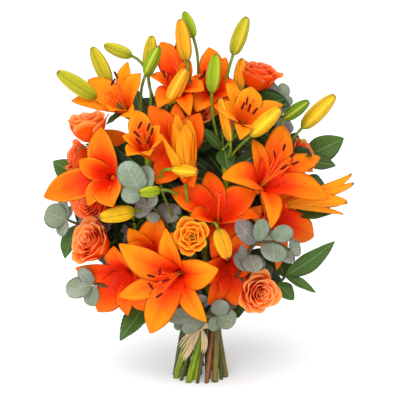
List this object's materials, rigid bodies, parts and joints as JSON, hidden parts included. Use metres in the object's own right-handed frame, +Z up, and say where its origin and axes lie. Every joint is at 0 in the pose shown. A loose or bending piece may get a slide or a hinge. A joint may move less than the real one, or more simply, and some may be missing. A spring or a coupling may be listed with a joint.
{
  "type": "mixed flower bouquet",
  "caption": "Hand-tied bouquet of orange lilies, lily buds, coral roses, eucalyptus and green leaves, bound with raffia and standing on its cut stems.",
  "frame": {"origin": "centre of the bundle of cut stem ends, on the surface it stands on: the middle of the centre stem's cut end", "axes": "+Z up along the bouquet, front (the side pictured) faces -Y, +X to the right seen from the front, Y through its depth"},
  "size_m": [0.3977, 0.2744, 0.48],
  "materials": {
    "lily_petal": "satin orange petal, golden tips, red flush at the throat",
    "rose_petal": "velvety coral-orange petal, redder rims",
    "lily_stem": "smooth lime-green stem and bud",
    "rose_stem": "smooth dark green stem",
    "eucalyptus": "matt silver-green leaf with a bloom",
    "leaf": "satin mid-green leaf",
    "raffia": "dry pale straw fibre"
  },
  "bodies": {
    "root": {"eucalyptus_collar": "eucalyptus", "eucalyptus_left": "eucalyptus", "eucalyptus_low_left": "eucalyptus", "eucalyptus_middle": "eucalyptus", "eucalyptus_right": "eucalyptus", "eucalyptus_top_right": "eucalyptus", "leafy_stem_back": "leaf", "leafy_stem_left": "leaf", "leafy_stem_right": "leaf", "lily_back_left": "lily_petal", "lily_back_right": "lily_petal", "lily_back_top": "lily_petal", "lily_behind_low": "lily_petal", "lily_centre": "lily_petal", "lily_front_low": "lily_petal", "lily_half_open_middle": "lily_petal", "lily_half_open_right": "lily_petal", "lily_left": "lily_petal", "lily_low_left": "lily_petal", "lily_low_middle": "lily_petal", "lily_low_right": "lily_petal", "lily_middle_back": "lily_petal", "lily_right": "lily_petal", "lily_stem_back_left": "lily_stem", "lily_stem_back_right": "lily_stem", "lily_stem_centre": "lily_stem", "lily_stem_front": "lily_stem", "lily_stem_left": "lily_stem", "lily_stem_left_top": "lily_stem", "lily_stem_right": "lily_stem", "lily_stem_top": "lily_stem", "lily_stem_upper_right": "lily_stem", "lily_top": "lily_petal", "lily_top_left": "lily_petal", "lily_top_middle": "lily_petal", "lily_upper_left": "lily_petal", "lily_upper_right": "lily_petal", "raffia_tie": "raffia", "rose_back_left": "rose_petal", "rose_back_low": "rose_petal", "rose_centre": "rose_petal", "rose_left_back": "rose_petal", "rose_left_low": "rose_petal", "rose_left_middle": "rose_petal", "rose_left_top": "rose_petal", "rose_right": "rose_petal", "rose_right_low": "rose_petal", "rose_stem_back_left": "rose_stem", "rose_stem_back_low": "rose_stem", "rose_stem_centre": "rose_stem", "rose_stem_left_back": "rose_stem", "rose_stem_left_low": "rose_stem", "rose_stem_left_middle": "rose_stem", "rose_stem_left_top": "rose_stem", "rose_stem_right": "rose_stem", "rose_stem_right_low": "rose_stem", "rose_stem_top_middle": "rose_stem", "rose_stem_top_right": "rose_stem", "rose_top_middle": "rose_petal", "rose_top_right": "rose_petal"}
  },
  "joints": []
}
